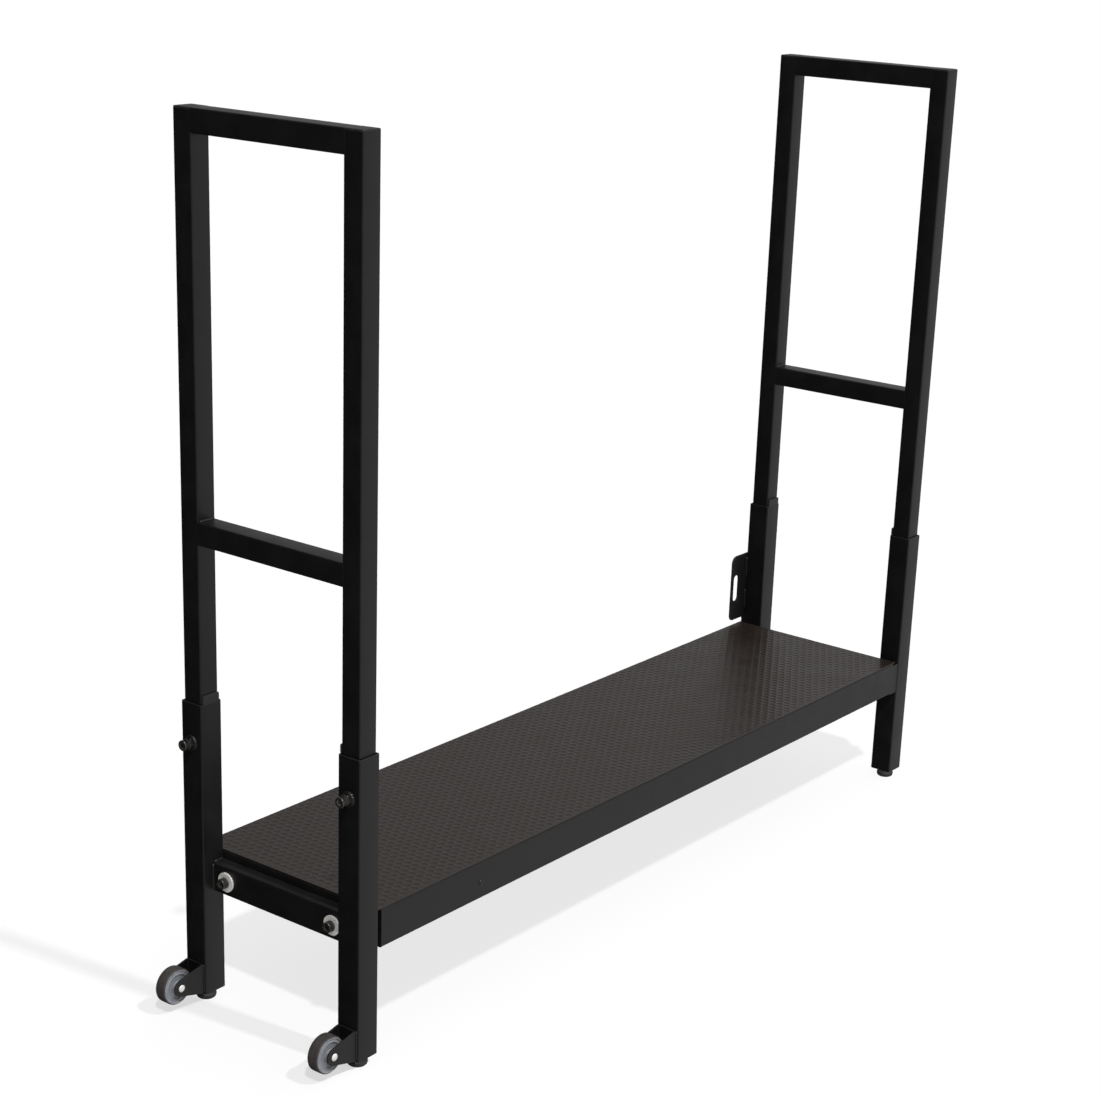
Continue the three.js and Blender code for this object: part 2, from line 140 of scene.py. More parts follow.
EDGE_WEAR = 0.0012
EDGE_BARE, EDGE_COATED = 0.86, 0.985  # cosines between the rounded normal and the true one
CLOUD_SIZE, ORANGE_PEEL, COAT_GRAIN = 0.045, 0.0022, 0.0007
TARNISH_SIZE, TURNED_MARKS = 0.004, 0.0005
DUST_SIZE = 0.012
SURFACE_RELIEF, FINE_RELIEF = 0.00006, 0.00002


def edge_mask(material, width=EDGE_WEAR):
    """1 on sharp edges, 0 more than about width metres from them."""
    links = material.node_tree.links
    rounded = add_node(material, "ShaderNodeBevel", samples=4, Radius=width)
    geometry = add_node(material, "ShaderNodeNewGeometry")
    alike = add_node(material, "ShaderNodeVectorMath", operation="DOT_PRODUCT")
    links.new(rounded.outputs["Normal"], alike.inputs[0])
    links.new(geometry.outputs["Normal"], alike.inputs[1])
    return ramp(material, alike.outputs["Value"], EDGE_BARE, EDGE_COATED, 1.0, 0.0)


def patchy(material, pattern, low, high, colour, other):
    """colour, turning to other as the pattern rises from low to high."""
    return mix_colour(material, ramp(material, pattern, low, high, 0.0, 1.0), colour, other)


def vary_roughness(material, pattern, roughness, smoother, rougher):
    """Spreads the roughness round its plain value, as the pattern rises."""
    set_roughness(material, ramp(material, pattern, 0.3, 0.7, roughness - smoother, roughness + rougher))


def powder_coat(name, colour, worn, roughness, specular):
    """Satin powder coat: fine orange peel, faint cloudy gloss, a little wear on the edges."""
    material = shader(name, colour, roughness, specular=specular)
    clouds = noise(material, CLOUD_SIZE, 4)
    lighter = tuple(min(1, 1.25 * c) for c in colour)
    coat = patchy(material, clouds, 0.38, 0.66, colour, lighter)
    set_colour(material, mix_colour(material, edge_mask(material), coat, worn))
    vary_roughness(material, clouds, roughness, 0.05, 0.06)
    add_bump(material, noise(material, ORANGE_PEEL, 2), SURFACE_RELIEF, 0.5)
    add_bump(material, noise(material, COAT_GRAIN, 1), FINE_RELIEF, 0.5)
    return material


def plated_steel(name, colour, worn, wear_and_highlight_width, roughness, metallic):
    """Zinc plate or blackened steel: turned marks, cloudy tarnish, and edges lighter for about rubbed
    metres: worn plating, and on blackened steel a painted rim highlight as well.
    """
    material = shader(name, colour, roughness, metallic=metallic)
    tarnish = noise(material, TARNISH_SIZE, 4)
    darker = tuple(0.7 * c for c in colour)
    plate = patchy(material, tarnish, 0.35, 0.7, colour, darker)
    # Lighter edges: worn plating, and on blackened steel also a painted highlight round the rims.
    set_colour(material, mix_colour(material, edge_mask(material, wear_and_highlight_width), plate, worn))
    vary_roughness(material, tarnish, roughness, 0.07, 0.1)
    add_bump(material, noise(material, TURNED_MARKS, 2, stretch=(0.25, 1, 1)), FINE_RELIEF, 0.5)
    return material


def moulded(name, colour, roughness, grain, depth):
    """Moulded plastic or rubber with a fine sprayed grain and dusty patches."""
    material = shader(name, colour, roughness, specular=0.35)
    dust = noise(material, DUST_SIZE, 4)
    lighter = tuple(min(1, 1.35 * c + 0.004) for c in colour)
    set_colour(material, patchy(material, dust, 0.45, 0.8, colour, lighter))
    vary_roughness(material, dust, roughness, 0.04, 0.08)
    add_bump(material, noise(material, grain, 2), depth, 0.6)
    return material


COAT_WORN = (0.03, 0.029, 0.028)
FINISHES = {
    "black_steel": powder_coat("black_coat", (0.0045, 0.0041, 0.0042), COAT_WORN, 0.4, 0.31),
    "shelf_steel": powder_coat("tread_finish", (0.0112, 0.0081, 0.0066),
                               (0.026, 0.021, 0.018), 0.34, 0.31),
    # The third colour is the lighter edge colour: worn metal, and on the blackened screw heads also a
    # painted rim highlight.
    "black_zinc": plated_steel("blackened_steel", (0.03, 0.029, 0.028),
                               (0.34, 0.32, 0.29), 0.0009, 0.34, 0.6),
    "bright_zinc": plated_steel("bright_zinc", (0.72, 0.70, 0.67),
                                (0.85, 0.84, 0.82), 0.0006, 0.3, 0.35),
    "black_plastic": moulded("black_nylon", (0.010, 0.010, 0.0105), 0.5, 0.0009, 0.00004),
    "black_rubber": moulded("foot_rubber", (0.012, 0.012, 0.012), 0.62, 0.0012, SURFACE_RELIEF),
    "tread_rubber": moulded("tyre_rubber", (0.028, 0.0235, 0.0225), 0.6, 0.0012, SURFACE_RELIEF),
    "wheel_plastic": moulded("wheel_nylon", (0.14, 0.147, 0.162), 0.42, 0.001, FINE_RELIEF),
}
WELD = powder_coat("coated_weld", (0.006, 0.0056, 0.0056), COAT_WORN, 0.4, 0.35)


# ---------- outlines and solids ----------

def arc(centre, radius, start, stop, steps):
    """Points of an arc in a plane, angles in degrees."""
    return [
        (centre[0] + radius * math.cos(math.radians(start + (stop - start) * i / steps)),
         centre[1] + radius * math.sin(math.radians(start + (stop - start) * i / steps)))
        for i in range(steps + 1)
    ]


CORNER_STEPS = 6


def rounded_square(half, radius):
    points = []
    for k, (sa, sb) in enumerate(((1, 1), (-1, 1), (-1, -1), (1, -1))):
        centre = (sa * (half - radius), sb * (half - radius))
        points += arc(centre, radius, 90 * k, 90 * (k + 1), CORNER_STEPS)
    return points


def circle(radius, sides):
    return arc((0, 0), radius, 0, 360, sides)[:-1]


def hexagon(flats, sides, limit=None):
    """A hexagon sampled at even angles; limit rounds its corners off at that radius."""
    points = []
    for i in range(sides):
        angle = 2 * math.pi * i / sides
        reach = flats / 2 / math.cos((angle % (math.pi / 3)) - math.pi / 6)
        reach = min(reach, limit) if limit else reach
        points.append((reach * math.cos(angle), reach * math.sin(angle)))
    return points


def axes_for(direction):
    """Two unit vectors square to direction, so that (first, second, direction) is right-handed."""
    direction = direction.normalized()
    helper = X_AXIS if abs(direction.x) < 0.9 else Y_AXIS
    second = direction.cross(helper).normalized()
    return second.cross(direction), second


def ring(points, centre, direction):
    """A flat outline set square to direction round centre."""
    first, second = axes_for(direction)
    return [centre + first * a + second * b for a, b in points]


def loft(bm, rings, closed=False):
    """Skins neighbouring rings; caps the ends unless the last ring meets the first."""
    loops = [[bm.verts.new(p) for p in points] for points in rings]
    pairs = list(zip(loops, loops[1:])) + ([(loops[-1], loops[0])] if closed else [])
    for lower, upper in pairs:
        for i, corner in enumerate(lower):
            j = (i + 1) % len(lower)
            bm.faces.new((corner, lower[j], upper[j], upper[i]))
    if not closed:
        bm.faces.new(reversed(loops[0]))
        bm.faces.new(loops[-1])


def add_piece(name, bm, body, slot, material=None, replaces=(), smooth_deg=35):
    """Turns bm into a shown piece that rides on body."""
    bmesh.ops.recalc_face_normals(bm, faces=bm.faces)
    mesh = bpy.data.meshes.new(name)
    bm.to_mesh(mesh)
    bm.free()
    mesh.shade_smooth()
    mesh.set_sharp_from_angle(angle=math.radians(smooth_deg))
    mesh.materials.append(material or FINISHES[slot])
    piece = bpy.data.objects.new(name, mesh)
    bpy.context.scene.collection.objects.link(piece)
    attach(piece, body)
    if replaces:
        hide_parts(*replaces)
    return piece


def stand_for(node, bm, **more):
    """A piece that stands for one CAD node, with that node's body and slot."""
    return add_piece(f"{node}_detail", bm, BODY_OF[node], SLOT_OF[node], replaces=(node,), **more)


def middle(node):
    low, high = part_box(node)
    return (low + high) / 2


def reach_along(node, direction):
    """Half of the node's length along direction."""
    low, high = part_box(node)
    return abs((high - low).dot(direction)) / 2


def rings_mm(outlines, start, direction):
    """Rings from (outline, distance along direction) pairs in mm."""
    return [
        ring([(a * MM, b * MM) for a, b in points], start + direction * (z * MM), direction)
        for points, z in outlines
    ]


def turned(bm, profile, start, direction, sides, closed=False):
    """Revolves (radius, distance along direction) pairs in mm."""
    rings = [ring(circle(r * MM, sides), start + direction * (z * MM), direction) for r, z in profile]
    loft(bm, rings, closed)


# ---------- tubes ----------

TUBE_WALL = 1.5 * MM
END_CHAMFER = 0.35 * MM
TUBE_CORNER = 2.5 * MM
CAP_HEAD = 1.8 * MM
CAP_EASE = 0.0002
PLUG_INSET = 2 * MM


def square_tube(node, direction, overrun=0.0):
    """A square tube along direction; overrun lengthens both ends into the tubes they are welded to."""
    low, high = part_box(node)
    centre = (low + high) / 2
    length = reach_along(node, direction) + overrun
    side = sorted(high - low)[0] / 2
    outer = rounded_square(side, TUBE_CORNER)
    eased = rounded_square(side - END_CHAMFER, TUBE_CORNER - END_CHAMFER)
    inner = rounded_square(side - TUBE_WALL, TUBE_CORNER - TUBE_WALL)
    steps = [(eased, -length), (outer, -length + END_CHAMFER), (outer, length - END_CHAMFER),
             (eased, length), (inner, length), (inner, -length)]
    bm = bmesh.new()
    loft(bm, [ring(points, centre + direction * at, direction) for points, at in steps], closed=True)
    stand_for(node, bm)


def post_cap(node):
    """A press-in cap: a plug inside the tube under a thin head with soft edges."""
    low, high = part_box(node)
    centre = (low + high) / 2
    half = (high.x - low.x) / 2
    plug, under_head = half - PLUG_INSET, high.z - CAP_HEAD
    plug_corner = TUBE_CORNER / 2
    steps = [(plug - 0.0006, plug_corner, low.z), (plug, plug_corner, low.z + 0.001),
             (plug, plug_corner, under_head), (half - CAP_EASE, TUBE_CORNER, under_head),
             (half, TUBE_CORNER, under_head + CAP_EASE), (half, TUBE_CORNER, high.z - 0.001),
             (half - 0.0004, TUBE_CORNER, high.z - 0.0003), (half - 0.0012, TUBE_CORNER, high.z)]
    bm = bmesh.new()
    loft(bm, [ring(rounded_square(size, corner), Vector((centre.x, centre.y, z)), Z_AXIS)
              for size, corner, z in steps])
    stand_for(node, bm)


# ---------- welds ----------

BEAD_STEP = 0.6 * MM
BEAD_SIDES = 12
BEAD_TIP = 0.15  # share of the bead's radius left at its two ends
RIPPLE = 2.4 * MM
RIPPLE_DEPTH = 0.12


def weld_bead(name, start, stop, radius, body):
    """A rippled bead from start to stop, thinner at both ends, half sunk into the joint."""
    length = (stop - start).length
    direction = (stop - start) / length
    count = max(8, round(length / BEAD_STEP))
    rings = []
    for i in range(count + 1):
        along = length * i / count
        taper = min(1, along / radius, (length - along) / radius) if 0 < i < count else 0
        swell = 1 - RIPPLE_DEPTH + RIPPLE_DEPTH * abs(math.sin(math.pi * along / RIPPLE))
        size = radius * max(BEAD_TIP, math.sqrt(taper)) * swell
        rings.append(ring(circle(size, BEAD_SIDES), start + direction * along, direction))
    bm = bmesh.new()
    loft(bm, rings)
    add_piece(name, bm, body, "black_steel", material=WELD, smooth_deg=60)


# ---------- fasteners ----------

# All in mm
THREAD_RADIUS, THREAD_PITCH, THREAD_DEPTH = 5.0, 1.5, 0.8
HEAD_HEIGHT, HEAD_RADIUS, SOCKET_FLATS, SOCKET_DEPTH = 10.0, 8.0, 8.0, 5.0
NUT_FLATS, NUT_BORE = 17.0, 5.35
WASHER_HOLE, WASHER_RADIUS = 5.4, 15
KNURL_DEPTH = 0.025  # share of the head's radius
FASTENER_SIDES = 72
COLLAR_SIDES, COLLAR_RIPPLES = 96, 11


def thread(start, stop):
    """Profile of a thread from start to stop, in mm."""
    crest, root = THREAD_RADIUS, THREAD_RADIUS - THREAD_DEPTH
    points, z = [], start
    while z < stop - THREAD_PITCH:
        points += [(crest, z), (crest, z + 0.2), (root, z + 0.75), (root, z + 0.95)]
        z += THREAD_PITCH
    return points + [(crest, stop)]


def knurled(radius):
    """A circle with every other point set in a little."""
    shares = [1 - KNURL_DEPTH * (i % 2) for i in range(FASTENER_SIDES)]
    return [(a * share, b * share) for share, (a, b) in zip(shares, circle(radius, FASTENER_SIDES))]


def socket_screw(node, direction):
    """A socket head screw that points its head along direction: knurled head, hex recess, thread."""
    reach = reach_along(node, direction)
    tip = middle(node) - direction * reach
    shank = reach * 2 / MM - HEAD_HEIGHT
    top = shank + HEAD_HEIGHT
    sides = FASTENER_SIDES
    outlines = [(circle(4.0, sides), 0)]
    outlines += [(circle(r, sides), z) for r, z in thread(0.8, shank)]
    outlines += [(circle(7.6, sides), shank), (knurled(HEAD_RADIUS), shank + 0.4),
                 (knurled(HEAD_RADIUS), top - 1.9), (circle(HEAD_RADIUS, sides), top - 1.5),
                 (circle(HEAD_RADIUS, sides), top - 0.9), (circle(HEAD_RADIUS - 0.35, sides), top - 0.25),
                 (circle(HEAD_RADIUS - 0.9, sides), top), (circle(5.2, sides), top),
                 (hexagon(SOCKET_FLATS, sides, 4.55), top - 0.5), (hexagon(SOCKET_FLATS, sides), top - 0.6),
                 (hexagon(SOCKET_FLATS, sides), top - SOCKET_DEPTH)]
    bm = bmesh.new()
    loft(bm, rings_mm(outlines, tip, direction))
    stand_for(node, bm, smooth_deg=28)


def hex_nut(node, direction, collar=False):
    """A chamfered hex nut round a bore, with a weld collar at its foot if asked."""
    reach = reach_along(node, direction)
    foot = middle(node) - direction * reach
    top = 2 * reach / MM
    sides = FASTENER_SIDES
    crown = NUT_FLATS / 2
    outlines = [(hexagon(NUT_FLATS, sides, crown), 0), (hexagon(NUT_FLATS, sides, crown + 0.8), 0.6),
                (hexagon(NUT_FLATS, sides), 1.1), (hexagon(NUT_FLATS, sides), top - 1.1),
                (hexagon(NUT_FLATS, sides, crown + 0.8), top - 0.6), (hexagon(NUT_FLATS, sides, crown), top),
                (circle(5.9, sides), top), (circle(NUT_BORE, sides), top - 0.5),
                (circle(NUT_BORE, sides), 0.5), (circle(5.9, sides), 0)]
    bm = bmesh.new()
    loft(bm, rings_mm(outlines, foot, direction), closed=True)
    if collar:
        weld_collar(f"{node}_weld", foot, direction, BODY_OF[node])
    stand_for(node, bm, smooth_deg=28)


def rippled(radius, ripple):
    """A circle whose radius swells by up to ripple, over and over round it."""
    points = []
    for i in range(COLLAR_SIDES):
        angle = 2 * math.pi * i / COLLAR_SIDES
        reach = radius + ripple * abs(math.sin(angle * COLLAR_RIPPLES))
        points.append((reach * math.cos(angle), reach * math.sin(angle)))
    return points


def weld_collar(name, foot, direction, body):
    """A rippled fillet round the foot of a nut."""
    laps = ((8.0, -0.3, 0), (11.4, -0.3, 0.3), (11.5, 0.5, 0.5), (10.9, 1.7, 0.6),
            (9.8, 2.9, 0.5), (8.6, 3.7, 0.3), (7.6, 3.8, 0))
    outlines = [(rippled(radius, ripple), height) for radius, height, ripple in laps]
    bm = bmesh.new()
    loft(bm, rings_mm(outlines, foot, direction), closed=True)
    add_piece(name, bm, body, "black_steel", material=WELD, smooth_deg=60)


def washer(node, direction):
    reach = reach_along(node, direction)
    thick = 2 * reach / MM
    hole, rim = WASHER_HOLE, WASHER_RADIUS
    profile = [(hole, 0.3), (hole + 0.3, 0), (rim - 0.4, 0), (rim, 0.3), (rim, thick - 0.5),
               (rim - 0.5, thick), (hole + 0.5, thick), (hole, thick - 0.4)]
    bm = bmesh.new()
    turned(bm, profile, middle(node) - direction * reach, direction, FASTENER_SIDES, closed=True)
    stand_for(node, bm)


MERGE_WITHIN = 0.00001
FLAT_DEG, SHARP_DEG = 1, 50


def polish(node, bevel_mm=0.35):
    """A copy of the CAD shape with merged faces, eased sharp edges and smooth bends."""
    bm = bmesh.new()
    bm.from_mesh(frame["nodes"][node].data)
    bmesh.ops.remove_doubles(bm, verts=bm.verts, dist=MERGE_WITHIN)
    bmesh.ops.dissolve_limit(bm, angle_limit=math.radians(FLAT_DEG), verts=bm.verts, edges=bm.edges)
    sharp = [e for e in bm.edges if e.is_manifold and e.calc_face_angle(0) > math.radians(SHARP_DEG)]
    bmesh.ops.bevel(bm, geom=sharp, offset=bevel_mm * MM, segments=2, profile=0.5,
                    affect="EDGES", clamp_overlap=True)
    piece = stand_for(node, bm, smooth_deg=40)
    evened = piece.modifiers.new("evened", "WEIGHTED_NORMAL")
    evened.keep_sharp = True


# ---------- feet and wheels ----------

WHEEL_SIDES = 96


def levelling_foot(node):
    """A rubber pad with a domed shoulder on a hex-collared, threaded stud."""
    centre = middle(node)
    base = Vector((centre.x, centre.y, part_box(node)[0].z))
    top = (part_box(node)[1].z - base.z) / MM
    bm = bmesh.new()
    turned(bm, [(11.6, 0), (12.9, 0.4), (14.2, 1.7), (14.9, 3.6), (15, 5), (15, 6.8), (14.6, 7.8),
                (13.4, 9), (11.4, 9.9), (9.6, 10.2), (9.4, 10.4)], base, Z_AXIS, 64)
    collar = [(hexagon(16, 48, limit), z) for limit, z in ((8.2, 10.1), (9, 10.5), (9, 14.2), (8.2, 14.8))]
    loft(bm, rings_mm(collar, base, Z_AXIS))
    turned(bm, thread(14.6, top), base, Z_AXIS, 32)
    stand_for(node, bm)


def wheel(side):
    """Tyre, core and rivet of one wheel, turned about Y."""
    tyre, core, axle = (f"{side}_wheel_{part}" for part in ("tyre", "core", "axle"))
    hub = middle(core)
    bm = bmesh.new()
    turned(bm, [(24.5, -8.9), (26.3, -9.0), (27.1, -8.7), (27.6, -8.0), (27.75, -7.0), (27.75, -0.5),
                (27.6, -0.3), (27.6, 0.3), (27.75, 0.5), (27.75, 7.0), (27.6, 8.0), (27.1, 8.7),
                (26.3, 9.0), (24.5, 8.9)], hub, Y_AXIS, WHEEL_SIDES, closed=True)
    stand_for(tyre, bm)
    bm = bmesh.new()
    half = [(4.1, 13.0), (4.6, 13.2), (7.9, 13.2), (8.5, 12.8), (8.9, 9.0), (9.6, 8.3), (17.2, 7.6),
            (18.4, 7.9), (19.0, 9.1), (20.0, 9.5), (20.6, 9.3), (21.2, 8.7), (23.6, 8.7), (24.2, 9.4),
            (25.2, 10), (25.8, 9.8), (26.1, 9.3), (24.1, 9.2)]
    profile = half + [(r, -z) for r, z in reversed(half)]
    turned(bm, profile, hub, Y_AXIS, WHEEL_SIDES, closed=True)
    stand_for(core, bm)
    bm = bmesh.new()
    dome = [(1.5, 19.55), (3.4, 19.0), (4.9, 18.1), (5.6, 17.4), (5.6, 16.9), (4.0, 16.85)]
    turned(bm, [(r, -z) for r, z in dome] + list(reversed(dome)), hub, Y_AXIS, 48)
    stand_for(axle, bm)


# ---------- shelf ----------

CELL_X, CELL_Y = 23.57 * MM, 14.45 * MM
WELL_DEPTH = 0.55 * MM
RIDGE_SHARE = 0.74
FLAT_RIM = 6 * MM
JOIN_WITHIN = 0.00002
# Shares of a cell's outline and of the well's depth, from the cell's edge in to the well's floor
WELL_STEPS = ((1, 0), (RIDGE_SHARE + 0.06, 0), (RIDGE_SHARE - 0.1, 1), (RIDGE_SHARE - 0.2, 1.1))


def tread_sheet():
    """A thin sheet pressed all over with staggered six-sided wells and cut straight through them."""
    low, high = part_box("tread_sheet")
    ax, ay = CELL_X / 2, CELL_Y / 2
    tip = (ax * ax + ay * ay) / (2 * ax)
    shoulder = (ax * ax - ay * ay) / (2 * ax)
    corners = [(tip, 0), (shoulder, ay), (-shoulder, ay), (-tip, 0), (-shoulder, -ay), (shoulder, -ay)]
    bm = bmesh.new()
    columns = math.ceil((high.x - low.x) / CELL_X) + 1
    rows = math.ceil((high.y - low.y) / CELL_Y) + 1
    for i in range(2 * columns):
        for j in range(rows):
            centre = Vector((low.x + i * ax, low.y + (j + 0.5 * (i % 2)) * CELL_Y, high.z))
            loops = []
            for share, depth in WELL_STEPS:
                loops.append([bm.verts.new(centre + Vector((share * a, share * b, -depth * WELL_DEPTH)))
                              for a, b in corners])
            for outer, inner in zip(loops, loops[1:]):
                for k in range(6):
                    m = (k + 1) % 6
                    bm.faces.new((outer[k], outer[m], inner[m], inner[k]))
            bm.faces.new(loops[-1])
    bmesh.ops.remove_doubles(bm, verts=bm.verts, dist=JOIN_WITHIN)
    for point, normal in ((low, -X_AXIS), (low, -Y_AXIS), (high, X_AXIS), (high, Y_AXIS)):
        everything = bm.verts[:] + bm.edges[:] + bm.faces[:]
        bmesh.ops.bisect_plane(bm, geom=everything, plane_co=point, plane_no=normal, clear_outer=True)
    for v in bm.verts:
        rim = min(v.co.x - low.x, high.x - v.co.x, v.co.y - low.y, high.y - v.co.y)
        v.co.z = high.z - (high.z - v.co.z) * min(1, rim / FLAT_RIM)
    rim = [e for e in bm.edges if e.is_boundary]
    skirt = bmesh.ops.extrude_edge_only(bm, edges=rim)["geom"]
    lower = [v for v in skirt if isinstance(v, bmesh.types.BMVert)]
    for v in lower:
        v.co.z = low.z
    bottom = [e for e in bm.edges if e.is_boundary]
    bmesh.ops.contextual_create(bm, geom=bottom)
    stand_for("tread_sheet", bm, smooth_deg=28)


def skirt_plug():
    low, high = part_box("skirt_plug")
    centre = Vector(((low.x + high.x) / 2, high.y, (low.z + high.z) / 2))
    bm = bmesh.new()
    turned(bm, [(2.6, 0.1), (2.9, 3.2), (4.3, 3.3), (4.5, 3.5), (4.2, 3.9), (2.9, 4.25), (1.2, 4.4)],
           centre, -Y_AXIS, 40)
    stand_for("skirt_plug", bm)


# ---------- everything ----------

BAR_BITE = 0.3 * MM
BAR_WELD_HALF = 13 * MM
BAR_WELD, RAIL_WELD, LIP_WELD, BRACKET_WELD, PLATE_WELD = (r * MM for r in (2.1, 2.3, 1.9, 1.5, 2.2))
RAIL_WELD_SETBACK = 0.003
PLATE_WELD_HEIGHTS = ((0.262, 0.300), (0.326, 0.364))


def build_end(end, sx):
    outward = X_AXIS * sx
    for side in SIDES:
        corner = f"{end}_{side}"
        square_tube(f"{corner}_leg", Z_AXIS)
        square_tube(f"{corner}_post", Z_AXIS)
        post_cap(f"{corner}_post_cap")
        polish(f"{corner}_guide_strip", 0.3)
        polish(f"{corner}_leg_insert")
        hex_nut(f"{corner}_clamp_nut", outward, collar=True)
        socket_screw(f"{corner}_clamp_screw", outward)
        levelling_foot(f"{corner}_levelling_foot")
    for bar in ("top_bar", "rung"):
        square_tube(f"{end}_{bar}", Y_AXIS, overrun=TUBE_CORNER + BAR_BITE)
    polish(f"{end}_rail")
    polish(f"{end}_shelf_rib", 0.2)


def bar_welds(end, side, sy):
    """Beads between one post and its end frame's rung and top bar."""
    post_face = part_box(f"{end}_{side}_post")[0 if sy > 0 else 1].y
    for bar, faces in (("rung", (0, 1)), ("top_bar", (0,))):
        x = middle(f"{end}_{bar}").x
        for face in faces:
            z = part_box(f"{end}_{bar}")[face].z
            weld_bead(f"{end}_{side}_{bar}_weld_{face}", Vector((x - BAR_WELD_HALF, post_face, z)),
                      Vector((x + BAR_WELD_HALF, post_face, z)), BAR_WELD, f"{end}_frame")


def rail_welds(end, sx, side, sy):
    """Beads between one leg and the web and top flange of its end rail."""
    low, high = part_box(f"{end}_rail")
    leg_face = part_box(f"{end}_{side}_leg")[0 if sy > 0 else 1].y
    web, lip = (low.x, high.x) if sx < 0 else (high.x, low.x)
    weld_bead(f"{end}_{side}_rail_weld_web", Vector((web, leg_face, low.z + RAIL_WELD_SETBACK)),
              Vector((web, leg_face, high.z - RAIL_WELD_SETBACK)), RAIL_WELD, "base")
    weld_bead(f"{end}_{side}_rail_weld_top", Vector((web - sx * RAIL_WELD_SETBACK, leg_face, high.z)),
              Vector((lip, leg_face, high.z)), LIP_WELD, "base")


def bracket_welds(side):
    """Beads down both cheeks of a wheel bracket, where they meet the leg."""
    low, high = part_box(f"{side}_wheel_bracket")
    for edge, y in (("a", low.y), ("b", high.y)):
        weld_bead(f"{side}_bracket_weld_{edge}", Vector((high.x, y, low.z + 0.002)),
                  Vector((high.x, y, high.z - 0.001)), BRACKET_WELD, "base")


def plate_welds():
    """Two short beads between the hook plate and its leg."""
    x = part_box("far_back_leg")[0].x + 0.001
    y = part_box("hook_plate")[0].y - 0.0006
    for k, (bottom, top) in enumerate(PLATE_WELD_HEIGHTS):
        weld_bead(f"hook_plate_weld_{k}", Vector((x, y, bottom)), Vector((x, y, top)), PLATE_WELD, "base")


def build_welds():
    for end, sx in ENDS.items():
        for side, sy in SIDES.items():
            bar_welds(end, side, sy)
            rail_welds(end, sx, side, sy)
    for side in SIDES:
        bracket_welds(side)
    plate_welds()


for end, sx in ENDS.items():
    build_end(end, sx)
for side in SIDES:
    washer(f"rail_washer_{side}", X_AXIS)
    socket_screw(f"rail_bolt_{side}", -X_AXIS)
    hex_nut(f"rail_nut_{side}", X_AXIS)
    polish(f"{side}_wheel_bracket", 0.5)
    wheel(side)
polish("shelf_tray")
polish("hook_plate", 0.5)
tread_sheet()
skirt_plug()
build_welds()


# ---------- stage, light and camera ----------

FLOOR_GLOW = 0.635
FLOOR_ALBEDO = 0.25
SHELL_GLOW = 1.0
SHELL_RADIUS = 50
# Direction, the cosines where the glow starts and is full, and its strength
FRONT_LOBE = ((0.35, -0.9, 0.2), -0.75, 0.75, 0.62)
BACK_LOBE = ((0.74, 0.58, 0.28), 0.45, 0.95, 0.24)
# Way the light travels, power, spread in degrees
KEY_LAMP = ((0.5, 0.59, -1), 2.5, 2.5)
FRONT_LAMP = ((-0.11, 1, -1.4), 1.95, 2)


def paper(name, bm, albedo, glow):
    """A stage object of plain paper that glows white."""
    mesh = bpy.data.meshes.new(name)
    bm.to_mesh(mesh)
    bm.free()
    material = shader(f"{name}_paper", (albedo,) * 3, 1.0, specular=0.0)
    bsdf = material.node_tree.nodes["Principled BSDF"]
    bsdf.inputs["Emission Color"].default_value = (1, 1, 1, 1)
    bsdf.inputs["Emission Strength"].default_value = glow
    mesh.materials.append(material)
    sheet = bpy.data.objects.new(name, mesh)
    bpy.context.scene.collection.objects.link(sheet)
    return sheet


def build_floor():
    bm = bmesh.new()
    bmesh.ops.create_grid(bm, x_segments=4, y_segments=4, size=SHELL_RADIUS)
    floor = paper("floor", bm, FLOOR_ALBEDO, FLOOR_GLOW)
    floor.visible_glossy = False


def build_shell():
    """A white shell far round the scene, seen by the camera and by nothing else."""
    bm = bmesh.new()
    bmesh.ops.create_uvsphere(bm, u_segments=64, v_segments=32, radius=SHELL_RADIUS)
    shell = paper("shell", bm, 0, SHELL_GLOW)
    shell.visible_diffuse = shell.visible_glossy = shell.visible_shadow = False


def sunlight(name, travel, power, spread_deg, casters):
    """A distant soft lamp whose light moves along travel; only the casters throw a shadow in it."""
    light = bpy.data.lights.new(name, "SUN")
    light.energy = power
    light.angle = math.radians(spread_deg)
    lamp = bpy.data.objects.new(name, light)
    lamp.rotation_euler = Vector(travel).to_track_quat("-Z", "Y").to_euler()
    bpy.context.scene.collection.objects.link(lamp)
    blockers = bpy.data.collections.new(f"{name}_blockers")
    for node in casters:
        blockers.objects.link(bpy.data.objects[f"{node}_detail"])
    lamp.light_linking.blocker_collection = blockers


def world_lobe(tree, direction, low, high, strength):
    """Brightness of the room that rises smoothly where the view turns to direction."""
    coordinates = tree.nodes.new("ShaderNodeTexCoord")
    towards = tree.nodes.new("ShaderNodeVectorMath")
    towards.operation = "DOT_PRODUCT"
    towards.inputs[1].default_value = Vector(direction).normalized()
    tree.links.new(coordinates.outputs["Generated"], towards.inputs[0])
    spread = tree.nodes.new("ShaderNodeMapRange")
    spread.interpolation_type = "SMOOTHSTEP"
    for socket, value in (("From Min", low), ("From Max", high), ("To Min", 0), ("To Max", strength)):
        spread.inputs[socket].default_value = value
    tree.links.new(towards.outputs["Value"], spread.inputs["Value"])
    return spread.outputs["Result"]


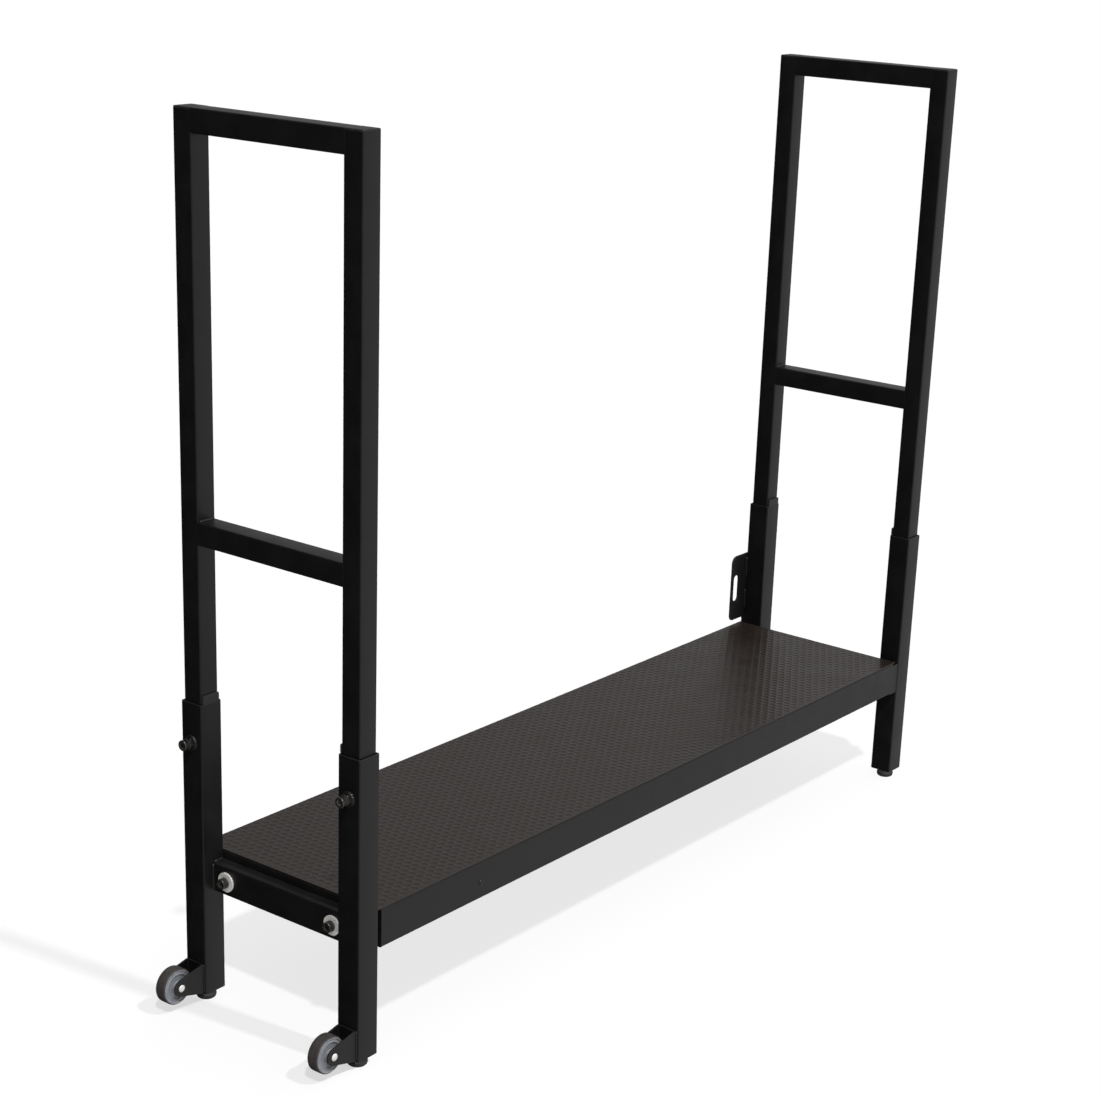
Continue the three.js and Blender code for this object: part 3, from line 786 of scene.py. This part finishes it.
def build_world():
    """A soft room, bright at the front and far end, with a pale wall behind the rack."""
    world = bpy.data.worlds.new("studio")
    bpy.context.scene.world = world
    world.use_nodes = True
    tree = world.node_tree
    background = tree.nodes["Background"]
    background.inputs["Color"].default_value = (1, 1, 1, 1)
    both = tree.nodes.new("ShaderNodeMath")
    both.operation = "ADD"
    for k, lobe in enumerate((FRONT_LOBE, BACK_LOBE)):
        tree.links.new(world_lobe(tree, *lobe), both.inputs[k])
    tree.links.new(both.outputs["Value"], background.inputs["Strength"])


def build_light():
    build_world()
    wheels = [f"{side}_wheel_{part}" for side in SIDES for part in ("tyre", "core", "bracket")]
    screws = [f"{end}_{side}_clamp_screw" for end in ENDS for side in SIDES]
    bolts = [f"rail_{part}_{side}" for part in ("bolt", "washer") for side in SIDES]
    shelf = ["shelf_tray", "tread_sheet", "near_rail", "far_rail"]
    sunlight("key", *KEY_LAMP, shelf + bolts + screws + wheels)
    corner = [f"near_front_{part}" for part in ("leg", "post", "levelling_foot")]
    sunlight("front", *FRONT_LAMP, corner + wheels)
    bpy.context.scene.view_settings.view_transform = "Standard"


CAMERA_PLACE = (-2.8321, -2.1142, 1.6277)
CAMERA_HEADING, CAMERA_PITCH, CAMERA_ROLL = (math.radians(a) for a in (37.6445, 18.888, 1.9431))
SENSOR_MM, LENS_MM = 36, 75.383
SHIFT_UP = 0.0818
FAR_CLIP = 200


def build_camera():
    """The heading turns from +X towards +Y and the pitch is below the horizon."""
    level = math.cos(CAMERA_PITCH)
    forward = Vector((
        level * math.cos(CAMERA_HEADING), level * math.sin(CAMERA_HEADING), -math.sin(CAMERA_PITCH)))
    flat_right = Vector((math.sin(CAMERA_HEADING), -math.cos(CAMERA_HEADING), 0))
    flat_up = flat_right.cross(forward)
    right = flat_right * math.cos(CAMERA_ROLL) + flat_up * math.sin(CAMERA_ROLL)
    up = flat_up * math.cos(CAMERA_ROLL) - flat_right * math.sin(CAMERA_ROLL)
    turn = Matrix((right, up, -forward)).transposed().to_4x4()
    lens = bpy.data.cameras.new("camera")
    lens.sensor_width, lens.lens = SENSOR_MM, LENS_MM
    lens.shift_y = SHIFT_UP
    lens.clip_end = FAR_CLIP
    camera = bpy.data.objects.new("camera", lens)
    camera.matrix_world = Matrix.Translation(CAMERA_PLACE) @ turn
    bpy.context.scene.collection.objects.link(camera)
    bpy.context.scene.camera = camera


build_floor()
build_shell()
build_light()
build_camera()
